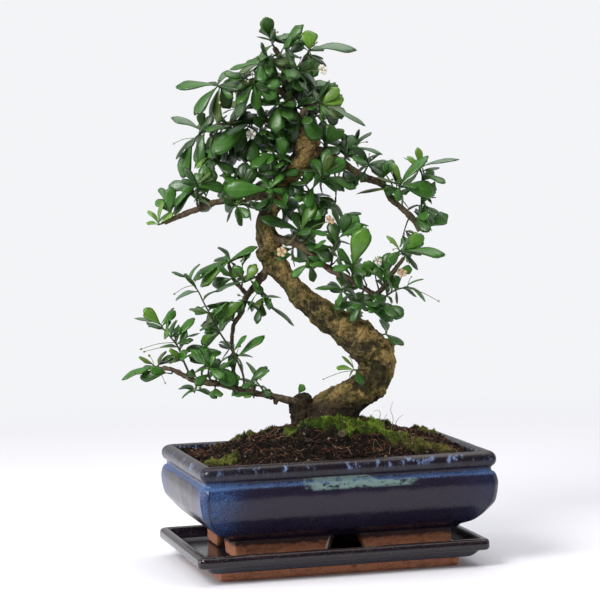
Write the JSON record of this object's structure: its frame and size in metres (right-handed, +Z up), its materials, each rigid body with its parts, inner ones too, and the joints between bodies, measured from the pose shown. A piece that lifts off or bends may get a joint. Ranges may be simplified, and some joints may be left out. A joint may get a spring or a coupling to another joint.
{
  "type": "fukien tea bonsai",
  "caption": "Small-leaved flowering bonsai with an S-curved trunk, planted in a dark glazed oblong pot that stands on a matching shallow saucer.",
  "frame": {"origin": "on the surface that the saucer stands on, under the middle of the pot", "axes": "+Z up, +X along the pot's long side to the viewer's right, +Y away from the viewer"},
  "size_m": [0.305, 0.1879, 0.4785],
  "materials": {
    "pot_glaze": "glossy mottled dark blue glaze over stoneware, bare at the feet",
    "saucer_glaze": "glossy near-black glaze, bare terracotta base",
    "mesh_plastic": "matt black",
    "soil": "moist crumbly potting soil with moss",
    "bark": "rough tan bark over darker patches",
    "leaf": "glossy leathery leaf",
    "petal": "soft white petal"
  },
  "bodies": {
    "root": {"pot": "pot_glaze", "saucer": "saucer_glaze", "drain_mesh": "mesh_plastic", "soil": "soil", "tree": "bark", "leaves_crown_tip": "leaf", "leaves_crown_right_tip": "leaf", "leaves_crown_upper_left": "leaf", "leaves_crown_left": "leaf", "leaves_crown_left_tip": "leaf", "leaves_crown_low_left": "leaf", "leaves_crown_side_left": "leaf", "leaves_crown_low_mid": "leaf", "leaves_crown_inner": "leaf", "leaves_crown_right": "leaf", "leaves_crown_right_low": "leaf", "leaves_crown_side_right": "leaf", "leaves_crown_back": "leaf", "leaves_upper_left": "leaf", "leaves_upper_left_high": "leaf", "leaves_upper_left_tip": "leaf", "leaves_upper_left_under": "leaf", "leaves_trunk_front": "leaf", "leaves_trunk_top_left": "leaf", "leaves_upper_right_near": "leaf", "leaves_upper_right_back": "leaf", "leaves_upper_right_mid": "leaf", "leaves_upper_right_far": "leaf", "leaves_upper_right_tip": "leaf", "leaves_middle": "leaf", "leaves_middle_high": "leaf", "leaves_middle_right": "leaf", "leaves_right_front": "leaf", "leaves_right_root": "leaf", "leaves_right_upper_tip": "leaf", "leaves_right_tip": "leaf", "leaves_right_low": "leaf", "leaves_right_mid": "leaf", "leaves_right_under": "leaf", "leaves_trunk_sprout": "leaf", "leaves_middle_left": "leaf", "leaves_middle_left_low": "leaf", "leaves_lower_left_front": "leaf", "leaves_middle_stub": "leaf", "leaves_long_stem": "leaf", "leaves_left_up_twig": "leaf", "leaves_left_tip": "leaf", "leaves_left_front": "leaf", "leaves_lower_middle": "leaf", "leaves_left_under": "leaf", "leaves_left_low": "leaf", "leaves_back_middle": "leaf", "leaves_back_right": "leaf", "leaves_back_left": "leaf", "bloom_crown_left": "petal", "bloom_crown_right": "petal", "bloom_middle": "petal", "bloom_trunk": "petal", "bloom_right": "petal", "bloom_right_inner": "petal"}
  },
  "joints": []
}
